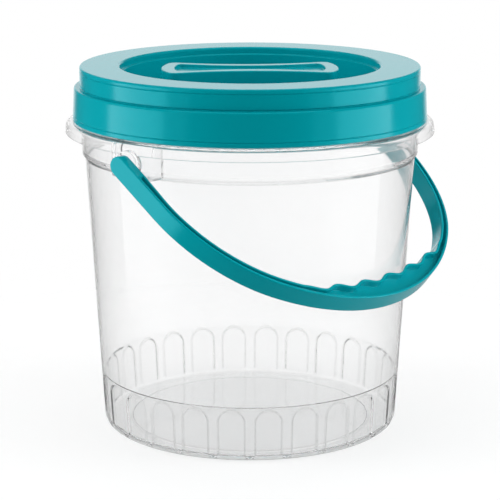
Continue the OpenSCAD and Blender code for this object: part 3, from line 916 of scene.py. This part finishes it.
outer_corners = [
    (well_from_r, well_z, 0), (well_r, well_z, 1.6), (well_top_r, ledge_z, 0.6), (ledge_r, ledge_z, 0.5),
    (ledge_r, top_z, 1.5), (upper_r, top_z, 2.2), *fine_groove(lambda z: upper_r, top_groove_z),
    *fine_groove(lambda z: upper_r, foot_groove_z), (step_r, tier_z, 1.2), *fine_groove(tier_r, low_groove_z),
    (lid_r, lid_z, 0.5),
]
print("corners of the lid's outside:", len(outer_corners))

# %% Lid: inside
fence_r, fence_in_r, fence_z, under_to_r = 94.8, 93.2, 213.0, 58.0
hollow_size, HOLLOW_FLAT, HOLLOW_SHARES = (102.0, 44.0, 25.0, 3.0), -3.0, (0.7, 0.35, 0.0)
under_well, under_top, under_tray = well_z - lid_t, top_z - lid_t, tray_z - lid_t
inner_corners = [
    (lid_r - lid_t, lid_z, 0.4), (step_r - lid_t, tier_z - lid_t, 0.6),
    (upper_r - lid_t, tier_z - lid_t, 0.4), (upper_r - lid_t, under_top, 0.3),
    (fence_r, under_top, 0.3), (fence_r, fence_z, 0.4),
    (fence_in_r, fence_z, 0.4), (fence_in_r, under_top, 0.3),
    (ledge_r + lid_t, under_top, 0.4), (ledge_r + lid_t, ledge_z - lid_t, 0.4),
    (well_top_r + lid_t, ledge_z - lid_t, 0.4), (well_r + lid_t, under_well, 0.8),
    (under_to_r, under_well, 0),
]
hollow_profile = soften([(2.0, under_well, 0), (0.0, under_well, 0.5), (-0.4, under_tray, 0.8),
                         (HOLLOW_FLAT, under_tray, 0)])
lid_loops += [lid_loop(r, z) for r, z in soften(outer_corners + inner_corners)]
lid_loops += waisted_loops(hollow_size, hollow_profile)
lid_loops += [lid_loop(share * waisted(hollow_size, HOLLOW_FLAT), under_tray) for share in HOLLOW_SHARES]
print("loops of the lid:", len(lid_loops))

# %% Lid: skin and ribs in one mesh
RIB_BELOW, LID_RIB_W, LID_RIB_CREST = 3.4, 2.2, -2.0
lid_rib_z = NECK_RIB_Z - RIB_BELOW + NECK_RIB_W
lid_ribs = [screw_rib(lambda z: tier_r(z) - lid_t + RIB_BEDDED, LID_RIB_CREST, start, lid_rib_z, LID_RIB_W)
            for start in range(STARTS)]
screw_lid = make_piece("screw_lid", [skin_of(lid_loops), *lid_ribs], teal_plastic)

# %% [markdown]
# The seal is a flat soft ring that lies in a groove under the lid's top, where the neck's rim
# presses on it. It is hidden until the lid comes up, so a turned ring with rounded corners and
# a shallow dent from the rim is enough.

# %% Seal
seal_in_r, seal_out_r, seal_low, seal_high = 95.1, 99.3, 214.3, 216.7
dent_from_r, dent_in_r, dent_out_r, dent_to_r, dent_z = 96.6, 97.1, 98.3, 98.8, 214.45
seal_outline = soften([
    (seal_in_r, seal_low, 0.5), (dent_from_r, seal_low, 0.3), (dent_in_r, dent_z, 0.3),
    (dent_out_r, dent_z, 0.3), (dent_to_r, seal_low, 0.2), (seal_out_r, seal_low, 0.5),
    (seal_out_r, seal_high, 0.5), (seal_in_r, seal_high, 0.5),
], closed=True)
seal_ring = make_piece("seal_ring", [skin_of(turned(seal_outline, lid_angles), joined=True)], seal_rubber)

# %% [markdown]
# The handle is a bow of one moulding, with an outer flange, a web, and an inner flange that
# waves round the fingers. A curve with a bevel profile could draw a plain strap, but here the
# section changes along the bow: solid tongues at the ends, open grooves on both sides of the
# arms, and a wide web in the grip. In the grip the inner flange stands on the upper side only,
# where the hand is. So each station gets its own section, and the sections are skinned.

# %% Handle: the bow's lines
strap_w, strap_d, tongue_d, flange_t, web_t = 11.4, 5.2, 6.2, 1.6, 3.0
bow_reach, crown_r, bow_round, tongue_len = 136.4, 140.0, 91.0, 15.0
hand_d, hand_r, finger_pitch, finger_h = 15.0, 260.0, 23.0, 3.0
side_gap, hang_gap = 0.6, 0.5
arm_in = boss_out + side_gap
arm_out = arm_in + tongue_d
crown_t = bow_reach - crown_r
arm_len = crown_t + math.sqrt((crown_r - bow_round) ** 2 - (arm_out - bow_round) ** 2)
bow_angle = math.atan2(arm_len - crown_t, arm_out - bow_round)
bump_t = bow_reach - hand_d
hang_p, hang_q = bump_t + taper * web_t / 2, taper * bump_t - web_t / 2
hang_angle = math.atan2(hang_q, hang_p) + math.acos(
    (foot_r + taper * pivot_z + hang_gap) / math.hypot(hang_p, hang_q))
print("the bow hangs", round(math.degrees(hang_angle), 2), "degrees below level")

# %% Handle: stations along one half of the bow
TIP_STEPS, SHOULDER_STEPS, CROWN_STEPS = 12, 44, 150
SOLID_PLACES, OPENING_PLACES, ARM_FROM, ARM_STEPS = (0.0, 12.5, 5), (13.0, 17.5, 10), 19.0, 7
half_w = strap_w / 2
arm_places = np.concatenate([
    np.linspace(*SOLID_PLACES), np.linspace(*OPENING_PLACES),
    np.linspace(ARM_FROM, arm_len, ARM_STEPS, endpoint=False),
])
tip_turns = np.linspace(0, math.pi / 2, TIP_STEPS, endpoint=False)
shoulder_turns = np.linspace(0, bow_angle, SHOULDER_STEPS, endpoint=False)
crown_turns = np.linspace(bow_angle, math.pi / 2, CROWN_STEPS)
stations = [(arm_out, -half_w * math.cos(a), 0.0) for a in tip_turns]
stations += [(arm_out, t, 0.0) for t in arm_places]
stations += [(arm_out - bow_round + bow_round * math.cos(a), arm_len + bow_round * math.sin(a), a)
             for a in shoulder_turns]
stations += [(crown_r * math.cos(a), crown_t + crown_r * math.sin(a), a) for a in crown_turns]
print("stations in half a bow:", len(stations))

# %% Handle: how a section changes


def finger_edge(s):
    """Inner edge of the grip, with its finger bumps."""
    return bump_t - s * s / 2 / hand_r + finger_h * (1 - math.cos(2 * math.pi * s / finger_pitch)) / 2


def blended_min(a, b, reach):
    """The smaller of two values, with a rounded change from one to the other."""
    share = min(max(0.5 + 0.5 * (b - a) / reach, 0.0), 1.0)
    return b + (a - b) * share - reach * share * (1 - share)


def eased(value, span):
    """Share of the way through a span, with a soft start and a soft end."""
    share = min(max((value - span[0]) / (span[1] - span[0]), 0.0), 1.0)
    return share * share * (3 - 2 * share)


print("finger bumps are", finger_h, "mm high and", finger_pitch, "mm apart")

# %% Handle: one section
FINGER_BLEND, TIP_ROUND = 1.4, 0.8
GROOVE_OPENS, UNDER_OPENS = (13.6, 16.2), (34.0, 46.0)


def bow_section(s, t, a):
    """Points of the section at a station, as (s, t, n), with n standing off the bow's plane."""
    sink = min(max((t - tongue_len) / (arm_len - tongue_len), 0.0), 1.0)
    depth = tongue_d + (strap_d - tongue_d) * sink
    outer = np.array((s, t))
    inner = outer - depth * np.array((math.cos(a), math.sin(a)))
    inner[1] = blended_min(inner[1], finger_edge(inner[0]), FINGER_BLEND)
    across = inner - outer
    depth = np.linalg.norm(across)
    across = across / depth
    from_tip = min(t + half_w, TIP_ROUND)
    tuck = TIP_ROUND - math.sqrt(TIP_ROUND ** 2 - (TIP_ROUND - from_tip) ** 2)
    h = math.sqrt(max(half_w ** 2 - min(t, 0.0) ** 2, 0.0))
    web = h + (web_t / 2 - h) * eased(t, GROOVE_OPENS)
    low = web + (h - web) * eased(abs(inner[0]), UNDER_OPENS)
    d0, d1 = tuck, depth - tuck
    f0, f1 = d0 + flange_t, d1 - flange_t
    outline = soften([
        (d0, h, 0.8), (f0, h, 0.45), (f0, web, 0.5), (f1, web, 0.5), (f1, h, 0.45), (d1, h, 0.6),
        (d1, -low, 0.6), (f1, -low, 0.45), (f1, -web, 0.5), (f0, -web, 0.5), (f0, -h, 0.45), (d0, -h, 0.8),
    ], closed=True)
    return np.column_stack([outer + outline[:, :1] * across, outline[:, 1]])


half_bow = [bow_section(*station) for station in stations]
other_half = [section * (-1, 1, 1) for section in half_bow[-2::-1]]
print("points in a section:", len(half_bow[0]))

# %% Handle: hang the bow on its studs
along_t = np.array((0.0, -math.cos(hang_angle), -math.sin(hang_angle)))
along_n = np.array((0.0, -math.sin(hang_angle), math.cos(hang_angle)))
pivot = np.array((0.0, 0.0, pivot_z))


def hung(section):
    """A section of the flat bow, put where the bow hangs."""
    return pivot + section[:, :1] * (1, 0, 0) + section[:, 1:2] * along_t + section[:, 2:] * along_n


bow_skin = skin_of([hung(section) for section in half_bow + other_half])
carry_bow = make_piece("carry_bow", [bow_skin], teal_plastic)

# %% [markdown]
# Each tongue has a blind socket that snaps over the stud on the ear. A boolean is the right
# tool for this one: the edge of a drilled-looking socket is crisp on the real part too, and it
# faces the ear, where only a raised handle shows it.

# %% Handle: sockets
stud_fit, CUT_PAST = 0.06, 2.0
socket_r, socket_start, socket_end = stud_r + stud_fit, arm_in - CUT_PAST, arm_in + stud_len
socket_part = turned_on_pivot([
    (socket_start, 0.0), (socket_start, socket_r), (socket_end, socket_r), (socket_end, 0.0),
])
socket_cutter = make_piece("socket_cutter", [socket_part, half_turned(socket_part)], teal_plastic)
combine(carry_bow, socket_cutter, "DIFFERENCE")

# %% [markdown]
# Each piece now takes the place of its solid and rides on that solid's body, so the joints of
# the frame move the dressed pieces: the lid turns and rises, the seal rises under it, and the
# handle swings on its studs.

# %% Put the pieces on their bodies
for piece, node, body, slot in (
    (pail_shell, "pail_body", "pail", "clear_plastic"),
    (screw_lid, "lid", "lid", "teal_plastic"),
    (seal_ring, "lid_seal", "seal", "seal_rubber"),
    (carry_bow, "bail_handle", "handle", "teal_plastic"),
):
    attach(piece, body)
    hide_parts(node)
    low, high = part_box(node)
    print(piece.name, "stands for", node, "of", [round((b - a) / MM, 1) for a, b in zip(low, high)], "mm")
